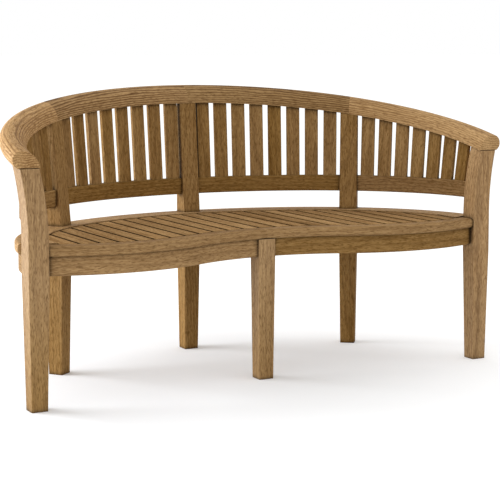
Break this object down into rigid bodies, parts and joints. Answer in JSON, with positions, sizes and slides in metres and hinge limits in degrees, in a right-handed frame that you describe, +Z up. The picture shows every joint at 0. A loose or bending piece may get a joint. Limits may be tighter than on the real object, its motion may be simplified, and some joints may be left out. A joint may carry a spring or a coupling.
{
  "type": "curved garden bench",
  "caption": "Wooden garden bench on a half-oval plan with slatted back, one rounded top rail sweeping down into the arms, slatted seat with an S-curved front edge, and tapered legs.",
  "frame": {"origin": "on the floor, under the middle of the bench's bounding box", "axes": "+X along the bench, to the right as seen from the front; +Y to the back; +Z up"},
  "size_m": [1.575, 0.6996, 0.845],
  "materials": {
    "teak": "oiled hardwood, matt",
    "dowel_wood": "plain hardwood dowel",
    "screw_steel": "stainless steel"
  },
  "bodies": {
    "root": {"back_post_left": "teak", "back_post_middle": "teak", "back_post_right": "teak", "back_slats_arm_left": "teak", "back_slats_arm_right": "teak", "back_slats_back_left": "teak", "back_slats_back_right": "teak", "front_apron_left": "teak", "front_apron_right": "teak", "front_leg_left": "teak", "front_leg_middle": "teak", "front_leg_right": "teak", "lower_rail_arm_left": "teak", "lower_rail_arm_right": "teak", "lower_rail_back_left": "teak", "lower_rail_back_right": "teak", "rail_dowels": "dowel_wood", "rear_apron_arm_left": "teak", "rear_apron_arm_right": "teak", "rear_apron_back_left": "teak", "rear_apron_back_right": "teak", "seat_back_border_arm_left": "teak", "seat_back_border_arm_right": "teak", "seat_back_border_back_left": "teak", "seat_back_border_back_right": "teak", "seat_batten_front": "teak", "seat_batten_rear": "teak", "seat_front_border_left": "teak", "seat_front_border_right": "teak", "seat_slat_01": "teak", "seat_slat_02": "teak", "seat_slat_03": "teak", "seat_slat_04": "teak", "seat_slat_05": "teak", "seat_slat_06": "teak", "seat_slat_07": "teak", "seat_slat_08": "teak", "seat_slat_09": "teak", "seat_slat_10": "teak", "seat_slat_11": "teak", "seat_slat_12": "teak", "seat_slat_13": "teak", "seat_slat_14": "teak", "seat_slat_15": "teak", "seat_slat_16": "teak", "seat_slat_17": "teak", "seat_slat_18": "teak", "seat_slat_19": "teak", "seat_slat_20": "teak", "seat_slat_21": "teak", "seat_slat_22": "teak", "seat_slat_23": "teak", "seat_slat_24": "teak", "seat_stretcher": "teak", "slat_screws": "screw_steel", "top_rail_arm_left": "teak", "top_rail_arm_right": "teak", "top_rail_back_left": "teak", "top_rail_back_right": "teak"}
  },
  "joints": []
}
